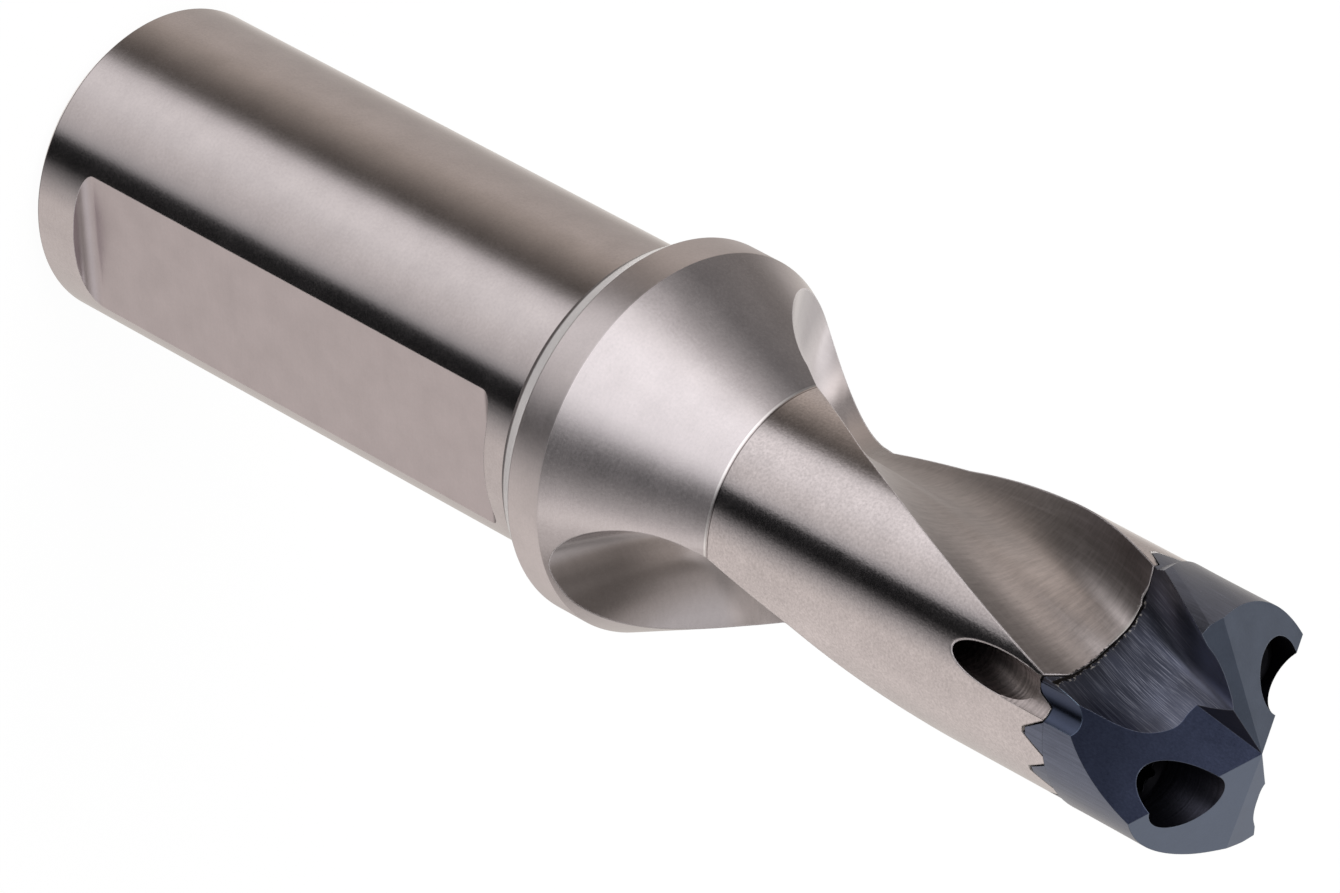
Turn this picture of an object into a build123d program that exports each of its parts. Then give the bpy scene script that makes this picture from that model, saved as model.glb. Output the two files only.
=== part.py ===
"""Exchangeable-head drill: shank and fluted body, toothed head and two clamp screws.

Millimetres. The axis is +Z, the origin is the centre of the shank's rear end and the
clamping flat faces -Y. Angles are degrees from +X, positive from +X to +Y.
"""
import os
from math import cos, pi, radians, sin, tan

from build123d import *

os.makedirs("parts", exist_ok=True)

# Shank with its clamping flat
SHANK_R = 12.5
SHANK_LENGTH = 54.3
SHANK_CHAMFER = 0.9
FLAT_DEPTH = 1.5
FLAT_START = 5.0
FLAT_LENGTH = 45.95
FLAT_CORNER_R = 0.9

# Collar and cone between shank and fluted body
COLLAR_BACK_RISE = 1.3
COLLAR_RISE = 2.65
COLLAR_BEVEL_LENGTH = 2.1
COLLAR_LENGTH = 3.1
CONE_LENGTH = 12.1

# Fluted body and the toothed joint
BODY_R = 9.6
BODY_LENGTH = 34.4
TEETH = 16
TOOTH_DEPTH = 2.0
TOOTH_LENGTH = 3.0
TOOTH_PHASE_ANGLE = -113.3
TOOTH_TIP_WIDTH = 0.16
FLANK_GAP = 0.10
ROOT_GAP = 0.28
FACE_GAP = 0.12
SEAT_R = 4.9
SMALLEST_DEPTH = 0.02

# Flutes: where the heel edge lies at the joint and how it turns along the axis
HEEL_ANGLE_AT_JOINT = -118.9
LEAD_IN_HEAD = 178.2
LEAD_IN_BODY = 201.8
LEAD_IN_RUNOUT = 268.7
TIGHTENING_ANGLE = 11.6
OPENING_ANGLE_AT_POINT = 63.6
OPENING_ANGLE_AT_JOINT = 74.0
OPENING_ANGLE_IN_BODY = 86.0
OPENING_ANGLE_AT_RUNOUT = 76.0
WIDENING_LENGTH = 14.0
CLOSING_LENGTH = 10.1
DEEPENING_LENGTH = 6.0
RUNOUT_SETBACK = 1.7
RUNOUT_LENGTH = 11.6
RUNOUT_CURVE_R = 5.21
RUNOUT_SHIFT_ANGLE = 3.4
RUNOUT_SECTION_COUNT = 6
SECTION_COUNT = 8

# Flute cross-section as shares of the body's radius and of the width, cutting side first
SECTION_AT_JOINT = (
    (2.5, -0.04),
    (0.979, 0.0),
    (0.833, 0.024),
    (0.667, 0.11),
    (0.573, 0.25),
    (0.555, 0.41),
    (0.573, 0.56),
    (0.618, 0.73),
    (0.75, 0.89),
    (1.0, 1.0),
    (1.3, 1.035),
    (2.5, 1.05),
)
SECTION_AT_POINT = (
    (2.5, 0.07),
    (0.958, -0.011),
    (0.828, -0.05),
    (0.615, -0.064),
    (0.448, 0.02),
    (0.4, 0.22),
    (0.4, 0.52),
    (0.427, 0.74),
    (0.552, 0.94),
    (1.0, 1.0),
    (1.3, 1.0),
    (2.5, 1.0),
)

# Drill head: margins, relieved lands, shoulder over the joint and the point
HEAD_LENGTH = 12.4
MARGIN_RISE = 0.6
SHOULDER_RISE = 0.3
SHOULDER_TILT = 9.6
SHOULDER_TOWARDS = -111.0
SHOULDER_LENGTH = 1.1
SHOULDER_RELIEF = 0.1
SHOULDER_SKIRT = 6.0
LAND_MIDDLE_ANGLE = -44.0
PRIMARY_DROP = 21.2
PRIMARY_TOWARDS = -19.4
SECONDARY_DROP = 27.1
SECONDARY_TOWARDS = -45.0
HEEL_DROP = 50.1
HEEL_TOWARDS = -135.8
THINNING_TILT = 12.4
THINNING_TOWARDS = -73.1

# Surface of a relieved land as share of the margin's radius and degrees behind its edge
LAND_RELIEF = (
    (1.002, 4.5),
    (0.9725, 14.0),
    (0.958, 28.0),
    (0.957, 60.0),
    (0.951, 95.0),
    (0.951, 125.0),
)

# Coolant: rear bore, slanted channels and the grooves at the heel
INLET_R = 3.5
INLET_MOUTH_R = 5.6
INLET_END_TO_JOINT = 36.0
INLET_MOUTH_ANGLE = 60.0
DRILL_POINT_ANGLE = 118.0
CHANNEL_R = 1.56
CHANNEL_ANGLE = -111.9
CHANNEL_SLANT = 17.5
CHANNEL_OUTLET_DEPTH = 4.3
CHANNEL_HEIGHT = 36.2
CHANNEL_LENGTH = 46.0
GROOVE_R = 2.0
GROOVE_AXIS_RISE = 1.25
GROOVE_ANGLE = -110.8
GROOVE_LENGTH = 11.0

# Clamp screws, leaning with the flute
SCREW_AXIS_INSET = 3.94
SCREW_AXIS_ANGLE = -60.4
SCREW_AXIS_HEIGHT = 9.0
SCREW_LEAN = 10.5
COUNTERBORE_R = 2.68
SCREW_SEAT_DEPTH = 5.2
SCREW_HEAD_R = 2.55
SCREW_HEAD_HEIGHT = 2.1
SCREW_THREAD_R = 1.75
SCREW_FIT = 0.03
SCREW_LENGTH = 8.6
TAPPED_DEPTH = 9.6
HEAD_HOLE_R = 1.95
SCREW_TIP = 0.3
SCREW_HEAD_EDGE = 0.25
SOCKET_R = 1.18
SOCKET_LOBE_R = 0.42
SOCKET_DEPTH = 1.5
SOCKET_LOBES = 6
SOCKET_MOUTH_R = 1.95
SOCKET_MOUTH_TAPER = 60.0
SOCKET_MOUTH_DEPTH = 0.385

# How far every cut runs past the face it starts from
OVERRUN = 1.0

# Heights along the axis and radii that follow from the sizes above
COLLAR_START = SHANK_LENGTH + COLLAR_BEVEL_LENGTH
COLLAR_END = COLLAR_START + COLLAR_LENGTH
CONE_END = COLLAR_END + CONE_LENGTH
RUNOUT_START = CONE_END - RUNOUT_SETBACK
JOINT_Z = CONE_END + BODY_LENGTH
POINT_Z = JOINT_Z + HEAD_LENGTH
FLUTE_LENGTH = JOINT_Z - RUNOUT_START
COLLAR_R = SHANK_R + COLLAR_RISE
MARGIN_R = BODY_R + MARGIN_RISE
TOOTH_FADE_R = BODY_R - TOOTH_LENGTH
CUT_R = MARGIN_R + OVERRUN
BLOCK_SIDE = 4 * SHANK_R
BLOCK_HEIGHT = 2 * BODY_R
OUTLINE_PLANE = Plane((0, 0, 0), x_dir=(0, -1, 0), z_dir=(-1, 0, 0))
FULL_TURN = 360
ON_PLANE = (Align.CENTER, Align.CENTER, Align.MIN)
UNDER_PLANE = (Align.CENTER, Align.CENTER, Align.MAX)


def polar(radius, angle):
    """Point of the given radius and angle in the plane of a sketch."""
    return (radius * cos(radians(angle)), radius * sin(radians(angle)))


def heel_angle(z):
    """Angle of the flute's heel edge at the height z."""
    if z >= JOINT_Z:
        return HEEL_ANGLE_AT_JOINT + FULL_TURN * (z - JOINT_Z) / LEAD_IN_HEAD
    below = JOINT_Z - max(z, RUNOUT_START)
    in_runout = max(RUNOUT_START - z, 0)
    turned = FULL_TURN * (below / LEAD_IN_BODY + in_runout / LEAD_IN_RUNOUT)
    tightened = TIGHTENING_ANGLE * (below / FLUTE_LENGTH) ** 2
    return HEEL_ANGLE_AT_JOINT - turned - tightened - RUNOUT_SHIFT_ANGLE * closing_share(z)


def closing_share(z):
    """Share of the way from the full flute to the run-out, 0 above it and 1 in it."""
    return min(max(1 - (z - RUNOUT_START) / CLOSING_LENGTH, 0), 1)


def flute_width(z):
    """Angle between the flute's two edges at the height z."""
    if z >= JOINT_Z:
        closed = (z - JOINT_Z) / HEAD_LENGTH
        return OPENING_ANGLE_AT_JOINT * (1 - closed) + OPENING_ANGLE_AT_POINT * closed
    if z >= JOINT_Z - WIDENING_LENGTH:
        widened = (JOINT_Z - z) / WIDENING_LENGTH
        return OPENING_ANGLE_AT_JOINT * (1 - widened) + OPENING_ANGLE_IN_BODY * widened
    closed = closing_share(z)
    return OPENING_ANGLE_IN_BODY * (1 - closed) + OPENING_ANGLE_AT_RUNOUT * closed


def flute_points(z, section, lift):
    """Flute outline at the height z, moved outward by lift."""
    width = flute_width(z)
    heel = heel_angle(z)
    shift = polar(lift, heel - width / 2)
    outline = []
    for reach, share in section:
        x, y = polar(reach * BODY_R, heel - width * (1 - share))
        outline.append((x + shift[0], y + shift[1]))
    return outline


def blend_sections(share):
    """Cross-section between the one at the joint and the one at the point."""
    mixed = []
    for start, end in zip(SECTION_AT_JOINT, SECTION_AT_POINT):
        mixed.append((
            start[0] + (end[0] - start[0]) * share,
            start[1] + (end[1] - start[1]) * share,
        ))
    return mixed


def flute_profile(z, section, lift=0.0):
    """Draw one closed flute outline on the current line builder."""
    outline = flute_points(z, section, lift)
    Line(outline[0], outline[1])
    Spline(*outline[1:])
    Line(outline[-1], outline[0])


def radial_plane(radius, angle):
    """Plane across the radius at the given angle, its own y along the axis."""
    return Plane(
        origin=(*polar(radius, angle), 0),
        x_dir=(-sin(radians(angle)), cos(radians(angle)), 0),
        z_dir=(cos(radians(angle)), sin(radians(angle)), 0),
    )


def falling_plane(z, drop, towards):
    """Plane through the axis at the height z that falls by drop degrees towards an angle."""
    return Plane(
        origin=(0, 0, z),
        z_dir=(*polar(sin(radians(drop)), towards), cos(radians(drop))),
    )


def tooth_depth(radius):
    """Depth of a coupling groove at the given radius."""
    return TOOTH_DEPTH * (radius - TOOTH_FADE_R) / TOOTH_LENGTH + SMALLEST_DEPTH


def tooth_half_width(radius):
    """Half the width of a coupling groove at the given radius."""
    return radius * tan(pi / TEETH) - TOOTH_TIP_WIDTH / 2


# Flute cutter for the body, with the run-out in the cone
with BuildPart() as body_flute:
    for step in range(RUNOUT_SECTION_COUNT):
        back = RUNOUT_LENGTH * (1 - step / RUNOUT_SECTION_COUNT)
        lift = back ** 2 / (2 * RUNOUT_CURVE_R)
        with BuildSketch(Plane.XY.offset(RUNOUT_START - back)):
            with BuildLine():
                flute_profile(RUNOUT_START - back, SECTION_AT_JOINT, lift)
            make_face()
    for step in range(SECTION_COUNT):
        height = RUNOUT_START + (FLUTE_LENGTH + OVERRUN) * step / (SECTION_COUNT - 1)
        with BuildSketch(Plane.XY.offset(height)):
            with BuildLine():
                flute_profile(height, SECTION_AT_JOINT)
            make_face()
    loft()

# Flute cutter for the head, growing deeper towards the point
with BuildPart() as head_flute:
    for step in range(SECTION_COUNT):
        height = JOINT_Z + HEAD_LENGTH * (step - 1) / (SECTION_COUNT - 2)
        share = min(max((height - JOINT_Z) / DEEPENING_LENGTH, 0), 1)
        with BuildSketch(Plane.XY.offset(height)):
            with BuildLine():
                flute_profile(height, blend_sections(share))
            make_face()
    loft()

# Relief cutter that leaves a margin behind each cutting edge
with BuildPart() as land_relief:
    for step in range(SECTION_COUNT):
        height = JOINT_Z + HEAD_LENGTH * (step - 1) / (SECTION_COUNT - 2)
        leading = heel_angle(height) - flute_width(height) + 180
        with BuildSketch(Plane.XY.offset(height)):
            with BuildLine():
                surface = [polar(reach * MARGIN_R, leading - back) for reach, back in LAND_RELIEF]
                outside = [polar(CUT_R, leading - back) for reach, back in LAND_RELIEF]
                Spline(*surface)
                Line(surface[-1], outside[-1])
                Spline(*reversed(outside))
                Line(outside[0], surface[0])
            make_face()
    loft()

# Tilted half ring that turns one land's base down to the body's diameter
shoulder_plane = falling_plane(JOINT_Z + SHOULDER_RISE, SHOULDER_TILT, SHOULDER_TOWARDS)
shoulder_section = Plane(
    shoulder_plane.origin, x_dir=shoulder_plane.x_dir, z_dir=-shoulder_plane.y_dir
)
with BuildPart() as shoulder_ring:
    with BuildSketch(shoulder_section):
        with BuildLine():
            Polyline(
                (BODY_R, -SHOULDER_SKIRT),
                (BODY_R, 0),
                (MARGIN_R + SHOULDER_RELIEF, SHOULDER_LENGTH),
                (CUT_R, SHOULDER_LENGTH),
                (CUT_R, -SHOULDER_SKIRT),
                close=True,
            )
        make_face()
    revolve(axis=Axis(shoulder_plane.origin, shoulder_plane.z_dir))
    split(bisect_by=Plane((0, 0, 0), z_dir=(*polar(1, LAND_MIDDLE_ANGLE), 0)), keep=Keep.TOP)

# One V groove of the coupling, as deep as a tooth at the rim and fading inward
with BuildPart() as tooth_groove:
    for radius in (TOOTH_FADE_R, CUT_R):
        half = tooth_half_width(radius)
        with BuildSketch(radial_plane(radius, TOOTH_PHASE_ANGLE)):
            with BuildLine():
                Polyline(
                    (-half, JOINT_Z + OVERRUN),
                    (-half, JOINT_Z),
                    (0, JOINT_Z - tooth_depth(radius)),
                    (half, JOINT_Z),
                    (half, JOINT_Z + OVERRUN),
                    close=True,
                )
            make_face()
    loft(ruled=True)

# One tooth of the head, with clearance at the flanks and at the tip
with BuildPart() as head_tooth:
    for radius in (TOOTH_FADE_R, CUT_R):
        half = tooth_half_width(radius) - FLANK_GAP
        with BuildSketch(radial_plane(radius, TOOTH_PHASE_ANGLE)):
            with BuildLine():
                Polyline(
                    (-half, JOINT_Z + OVERRUN),
                    (-half, JOINT_Z + FACE_GAP),
                    (0, JOINT_Z - tooth_depth(radius) + FACE_GAP),
                    (half, JOINT_Z + FACE_GAP),
                    (half, JOINT_Z + OVERRUN),
                    close=True,
                )
            make_face()
    loft(ruled=True)

# Slanted coolant channel and the groove that carries it along the heel
channel_direction = (
    *polar(sin(radians(CHANNEL_SLANT)), CHANNEL_ANGLE),
    cos(radians(CHANNEL_SLANT)),
)
channel_back_r = BODY_R - CHANNEL_HEIGHT * tan(radians(CHANNEL_SLANT))
channel_back_z = JOINT_Z - CHANNEL_OUTLET_DEPTH - CHANNEL_HEIGHT
channel_back = (*polar(channel_back_r, CHANNEL_ANGLE), channel_back_z)
with BuildPart() as coolant_channel:
    with Locations(Plane(origin=channel_back, z_dir=channel_direction)):
        Cylinder(CHANNEL_R, CHANNEL_LENGTH, align=ON_PLANE)

with BuildPart() as heel_groove:
    with Locations((*polar(BODY_R + GROOVE_AXIS_RISE, GROOVE_ANGLE), JOINT_Z - CHANNEL_OUTLET_DEPTH)):
        Cylinder(GROOVE_R, GROOVE_LENGTH, align=ON_PLANE)

# Wedge that grinds the heel face and thins the web up to the chisel edge
with BuildPart() as heel_wedge:
    with Locations(falling_plane(POINT_Z, HEEL_DROP, HEEL_TOWARDS)):
        Box(BLOCK_SIDE, BLOCK_SIDE, BLOCK_HEIGHT, align=ON_PLANE)
    split(bisect_by=falling_plane(POINT_Z, 90 - THINNING_TILT, THINNING_TOWARDS), keep=Keep.TOP)

# Axis of a clamp screw, at the height where its head rests
screw_direction = Vector(
    *polar(sin(radians(SCREW_LEAN)), SCREW_AXIS_ANGLE + 90),
    cos(radians(SCREW_LEAN)),
)
screw_axis_r = BODY_R - SCREW_AXIS_INSET
screw_mouth = Vector(*polar(screw_axis_r, SCREW_AXIS_ANGLE), JOINT_Z + SCREW_AXIS_HEIGHT)
screw_seat = screw_mouth - screw_direction * SCREW_SEAT_DEPTH
screw_plane = Plane(origin=screw_seat, z_dir=screw_direction)

# Stepped hole of the head: counterbore, flat seat and clearance hole
with BuildPart() as head_hole:
    with Locations(screw_plane):
        Cylinder(COUNTERBORE_R, BLOCK_HEIGHT, align=ON_PLANE)
        Cylinder(HEAD_HOLE_R, BLOCK_HEIGHT, align=UNDER_PLANE)

# Tapped hole of the body, ending in a drill point
with BuildPart() as tapped_hole:
    with BuildSketch(Plane.XZ):
        with BuildLine():
            Polyline(
                (0, 0),
                (SCREW_THREAD_R, 0),
                (SCREW_THREAD_R, -TAPPED_DEPTH),
                (0, -TAPPED_DEPTH - SCREW_THREAD_R / tan(radians(DRILL_POINT_ANGLE / 2))),
                close=True,
            )
        make_face()
    revolve(axis=Axis.Z)

# Clamp screw with a six-lobed socket
with BuildPart() as clamp_screw:
    with BuildSketch(Plane.XZ):
        with BuildLine():
            Polyline(
                (0, -SCREW_LENGTH),
                (SCREW_THREAD_R - SCREW_FIT - SCREW_TIP, -SCREW_LENGTH),
                (SCREW_THREAD_R - SCREW_FIT, -SCREW_LENGTH + SCREW_TIP),
                (SCREW_THREAD_R - SCREW_FIT, 0),
                (SCREW_HEAD_R, 0),
                (SCREW_HEAD_R, SCREW_HEAD_HEIGHT - SCREW_HEAD_EDGE),
                (SCREW_HEAD_R - SCREW_HEAD_EDGE, SCREW_HEAD_HEIGHT),
                (0, SCREW_HEAD_HEIGHT),
                close=True,
            )
        make_face()
    revolve(axis=Axis.Z)
    with BuildSketch(Plane.XY.offset(SCREW_HEAD_HEIGHT)):
        Circle(SOCKET_R)
        with PolarLocations(SOCKET_R, SOCKET_LOBES):
            Circle(SOCKET_LOBE_R)
    extrude(amount=-SOCKET_DEPTH, mode=Mode.SUBTRACT)
    with BuildSketch(Plane.XY.offset(SCREW_HEAD_HEIGHT)):
        Circle(SOCKET_MOUTH_R)
    extrude(amount=-SOCKET_MOUTH_DEPTH, taper=SOCKET_MOUTH_TAPER, mode=Mode.SUBTRACT)

# Body: turned blank, flat, flutes, coupling, coolant and tapped holes
with BuildPart() as drill_body:
    with BuildSketch(OUTLINE_PLANE) as body_outline:
        with BuildLine():
            Polyline(
                (0, 0),
                (SHANK_R - SHANK_CHAMFER, 0),
                (SHANK_R, SHANK_CHAMFER),
                (SHANK_R, SHANK_LENGTH),
                (SHANK_R + COLLAR_BACK_RISE, SHANK_LENGTH),
                (COLLAR_R, COLLAR_START),
                (COLLAR_R, COLLAR_END),
                (BODY_R, CONE_END),
                (BODY_R, JOINT_Z),
                (0, JOINT_Z),
                close=True,
            )
        make_face()
    revolve(axis=Axis.Z)
    with BuildSketch(Plane.YZ) as flat_cut:
        with BuildLine():
            Polyline(
                (FLAT_DEPTH - SHANK_R, FLAT_START),
                (FLAT_DEPTH - SHANK_R, FLAT_START + FLAT_LENGTH),
                (-2 * SHANK_R, FLAT_START + FLAT_LENGTH),
                (-2 * SHANK_R, FLAT_START),
                close=True,
            )
        make_face()
        fillet(flat_cut.vertices().group_by(Axis.X)[-1], FLAT_CORNER_R)
    extrude(amount=2 * SHANK_R, both=True, mode=Mode.SUBTRACT)
    with PolarLocations(0, 2):
        add(body_flute.part, mode=Mode.SUBTRACT)
    with PolarLocations(0, TEETH):
        add(tooth_groove.part, mode=Mode.SUBTRACT)
    with BuildSketch(Plane.XZ) as inlet_outline:
        with BuildLine():
            Polyline(
                (0, 0),
                (INLET_MOUTH_R, 0),
                (INLET_R, (INLET_MOUTH_R - INLET_R) / tan(radians(INLET_MOUTH_ANGLE / 2))),
                (INLET_R, JOINT_Z - INLET_END_TO_JOINT),
                (0, JOINT_Z - INLET_END_TO_JOINT + INLET_R / tan(radians(DRILL_POINT_ANGLE / 2))),
                close=True,
            )
        make_face()
    revolve(axis=Axis.Z, mode=Mode.SUBTRACT)
    with PolarLocations(0, 2):
        add(coolant_channel.part, mode=Mode.SUBTRACT)
        add(heel_groove.part, mode=Mode.SUBTRACT)
    for half_turn in (0, 180):
        with Locations(Location((0, 0, 0), (0, 0, half_turn)) * screw_plane.location):
            add(tapped_hole.part, mode=Mode.SUBTRACT)
drill_body.part.label = "drill_body"
export_step(drill_body.part, "parts/drill_body.step")

# Head: teeth and turned blank, four flank planes, flutes, thinning and holes
with BuildPart() as drill_head:
    with PolarLocations(0, TEETH):
        add(head_tooth.part)
    with BuildSketch(Plane.XZ):
        with BuildLine():
            Polyline(
                (0, JOINT_Z - TOOTH_DEPTH + ROOT_GAP),
                (MARGIN_R, JOINT_Z - TOOTH_DEPTH + ROOT_GAP),
                (MARGIN_R, JOINT_Z + OVERRUN),
                (0, JOINT_Z + OVERRUN),
                close=True,
            )
        make_face()
    revolve(axis=Axis.Z, mode=Mode.INTERSECT)
    with BuildSketch(Plane.XZ):
        with BuildLine():
            Polyline(
                (0, JOINT_Z),
                (SEAT_R, JOINT_Z),
                (SEAT_R, JOINT_Z + FACE_GAP),
                (MARGIN_R, JOINT_Z + FACE_GAP),
                (MARGIN_R, POINT_Z),
                (0, POINT_Z),
                close=True,
            )
        make_face()
    revolve(axis=Axis.Z)
    with PolarLocations(0, 2):
        add(shoulder_ring.part, mode=Mode.SUBTRACT)
    for drop, towards in ((SECONDARY_DROP, SECONDARY_TOWARDS), (PRIMARY_DROP, PRIMARY_TOWARDS)):
        for half_turn in (0, 180):
            with Locations(falling_plane(POINT_Z, drop, towards + half_turn)):
                Box(BLOCK_SIDE, BLOCK_SIDE, BLOCK_HEIGHT, align=ON_PLANE, mode=Mode.SUBTRACT)
    with PolarLocations(0, 2):
        add(land_relief.part, mode=Mode.SUBTRACT)
        add(heel_wedge.part, mode=Mode.SUBTRACT)
        add(head_flute.part, mode=Mode.SUBTRACT)
        add(coolant_channel.part, mode=Mode.SUBTRACT)
        add(heel_groove.part, mode=Mode.SUBTRACT)
        add(head_hole.part, mode=Mode.SUBTRACT)
drill_head.part.label = "drill_head"
export_step(drill_head.part, "parts/drill_head.step")

# The two screws in their places
with BuildPart() as screw_left:
    with Locations(screw_plane.location):
        add(clamp_screw.part)
screw_left.part.label = "clamp_screw_left"
export_step(screw_left.part, "parts/clamp_screw_left.step")

with BuildPart() as screw_right:
    with Locations(Location((0, 0, 0), (0, 0, 180)) * screw_plane.location):
        add(clamp_screw.part)
screw_right.part.label = "clamp_screw_right"
export_step(screw_right.part, "parts/clamp_screw_right.step")
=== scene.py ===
"""Exchangeable-head drill: fine ground surfaces, coatings and studio over the solid frame."""
from math import cos, pi, radians, sin, tan

import bmesh
import bpy
from bpy.props import FloatProperty, FloatVectorProperty, IntProperty, PointerProperty
from mathutils import Euler, Matrix, Vector
from mathutils.geometry import interpolate_bezier


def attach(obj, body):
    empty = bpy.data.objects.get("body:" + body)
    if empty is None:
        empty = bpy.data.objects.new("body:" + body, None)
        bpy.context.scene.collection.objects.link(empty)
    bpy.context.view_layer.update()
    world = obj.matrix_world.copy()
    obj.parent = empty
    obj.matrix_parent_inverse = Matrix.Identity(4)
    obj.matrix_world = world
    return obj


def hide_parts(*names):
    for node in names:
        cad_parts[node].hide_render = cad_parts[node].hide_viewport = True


bl_info = {
    "name": "Exchangeable-head Drill",
    "version": (1, 0, 0),
    "blender": (4, 5, 0),
    "location": "3D View > Sidebar > Drill",
    "description": "Models and finishes a fluted drill body, its coated head and two clamp screws",
    "category": "Add Mesh",
}

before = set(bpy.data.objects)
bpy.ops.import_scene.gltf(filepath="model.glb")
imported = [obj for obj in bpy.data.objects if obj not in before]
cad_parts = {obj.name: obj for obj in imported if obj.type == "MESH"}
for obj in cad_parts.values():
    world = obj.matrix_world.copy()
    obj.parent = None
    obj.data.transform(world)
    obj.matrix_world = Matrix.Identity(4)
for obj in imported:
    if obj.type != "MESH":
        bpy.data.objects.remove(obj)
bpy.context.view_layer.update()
MM = 0.001

# The drill's two sides, as turns about its axis in degrees
SIDES = (0, 180)

# Flute cross-sections as radius in millimetres and share of the width, cutting side first,
# and the number of steps of each of their spans
SECTION_AT_JOINT = (
    (24.0, -0.04), (9.40, 0.0), (8.00, 0.024), (6.40, 0.11), (5.50, 0.25), (5.33, 0.41),
    (5.50, 0.56), (5.93, 0.73), (7.20, 0.89), (9.60, 1.0), (12.5, 1.035), (24.0, 1.05),
)
SECTION_AT_POINT = (
    (24.0, 0.07), (9.20, -0.011), (7.95, -0.05), (5.90, -0.064), (4.30, 0.02), (3.84, 0.22),
    (3.84, 0.52), (4.10, 0.74), (5.30, 0.94), (9.60, 1.0), (12.5, 1.0), (24.0, 1.0),
)
SECTION_STEPS = (4, 8, 10, 12, 12, 12, 12, 14, 16, 10, 4)

# Heights below which a flute closes towards its run-out and has the body's full width
CLOSING_START, FULL_WIDTH_END = 80.0, 92.0

# Length of the run-out, and the heel's extra turn for each millimetre of it and for the closing
RUNOUT_REACH, RUNOUT_TURN, CLOSING_TURN = 11.6, 1.34, 3.4

# How far the head's flute reaches below and above the joint, and where it has the point's section
HEAD_FLUTE_BELOW, HEAD_FLUTE_ABOVE, SECTION_REACH = 2.5, 12.9, 6.0

# Surface of a land behind its margin, as radius in millimetres and degrees behind the edge
LAND_RELIEF = (
    (10.22, 4.5), (9.92, 14.0), (9.77, 28.0), (9.76, 60.0), (9.70, 95.0), (9.70, 125.0))
RELIEF_STEPS, RELIEF_BELOW, RELIEF_RISE, RELIEF_OUTSIDE = 32, 2.0, 0.5, 12.0

# The four planes of the point: fall in degrees and the direction they fall towards
SECONDARY_PLANE = (27.1, -45.0)
PRIMARY_PLANE = (21.2, -19.4)
HEEL_PLANE = (50.1, -135.8)
THINNING_PLANE = (77.6, -73.1)

# Turned shape between shank and flutes, and profile of the rear coolant bore, in millimetres
BEVEL_START, BEVEL_RADIUS = 54.3, 13.8
COLLAR_START, COLLAR_END, CONE_END = 56.4, 59.5, 71.6
INLET_PROFILE = ((0, -1), (6.177, -1), (3.5, 3.637), (3.5, 70.0), (0, 72.1))

# Slanted coolant channels, their starts behind the outlet and lengths in body and head, and the
# short grooves above the outlets
CHANNEL_LEAN, CHANNEL_RADIUS = 17.5, 1.56
CHANNEL_IN_BODY, CHANNEL_IN_HEAD = (37.9, 46.0), (5.0, 15.0)
OUTLET_DIRECTION, OUTLET_HEIGHT = -111.9, 101.7
GROOVE_DIRECTION, GROOVE_DISTANCE, GROOVE_RADIUS, GROOVE_LENGTH = -110.8, 10.85, 2.0, 11.0

# Screw holes as radius, start behind the seat and length: tapped in the body, stepped in the head
TAPPED_HOLE = (1.75, 9.6, 9.6)
STEPPED_HOLES = ((2.68, 0.0, 20.0), (1.95, 12.0, 12.5))

# Coupling: first tooth's direction, play and outer end of the wedges, and inner seat
FIRST_TOOTH, WEDGE_PLAY, WEDGE_END, SEAT_RADIUS = -113.3, 0.08, 11.5, 4.9

# Gaps of the coupling over the head's teeth, at their flanks and at their tips
TOOTH_GAP, FLANK_GAP, TIP_GAP = 0.12, 0.10, 0.28

# Faces round a screw and its thread, and the lobes, depth and waved outline of its socket
SCREW_STEPS, THREAD_STEPS, SOCKET_LOBES, SOCKET_DEPTH = 96, 48, 6, 1.5
SOCKET_RADIUS, LOBE_REACH = 1.32, 0.27

# Tilted shoulder of a land: its plane, its height on the axis and the side where it starts
SHOULDER_PLANE, SHOULDER_HEIGHT, SHOULDER_SIDE = (9.6, -111.0), 106.3, -44.0

# Height of the camera over the horizon in degrees
LENS_HEIGHT = 41

# Studio brightness round the drill at five heights: direction from the camera, grey and warmth
LOW_BANDS = (
    (-180, 0.8, 0.06), (-166, 0.7, 0.06), (-156, 0.56, 0.07), (-146, 0.46, 0.08),
    (-132, 0.46, 0.08), (-104, 0.5, 0.1), (-92, 0.42, 0.12), (-78, 0.26, 0.12), (-68, 0.15, 0.12),
    (-59, 0.1, 0.1), (-52, 0.26, 0.05), (-45, 0.74, 0.02), (-38, 0.94, 0.02), (-28, 0.98, 0.02),
    (-18, 0.89, 0.02), (-6, 0.77, 0.03), (4, 0.66, 0.03), (11, 0.55, 0.02), (16, 0.35, 0),
    (19, 0.02, -0.03), (33, 0.01, -0.03), (38, 0.05, 0), (45, 0.26, 0.02), (54, 0.5, 0.04),
    (66, 0.7, 0.06), (110, 0.74, 0.06), (146, 0.64, 0.06), (170, 0.6, 0.06), (180, 0.78, 0.06),
)
MIDDLE_BANDS = (
    (-180, 1.2, 0.02), (-156, 1, 0.02), (-142, 0.5, 0.02), (-133, 0.2, 0.03), (-122, 0.17, 0.04),
    (-108, 0.22, 0.04), (-86, 0.18, 0.02), (-70, 0.38, 0.02), (-57, 0.68, 0.02),
    (-43, 1.24, 0.01), (-30, 1.4, 0), (4, 1.38, 0), (13, 0.96, 0), (22, 0.4, 0), (30, 0.17, 0),
    (37, 0.13, 0), (45, 0.26, 0.02), (57, 0.48, 0.03), (70, 0.72, 0.05), (86, 0.62, 0.05),
    (100, 0.36, 0.06), (130, 0.38, 0.05), (156, 0.6, 0.03),
)
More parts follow.
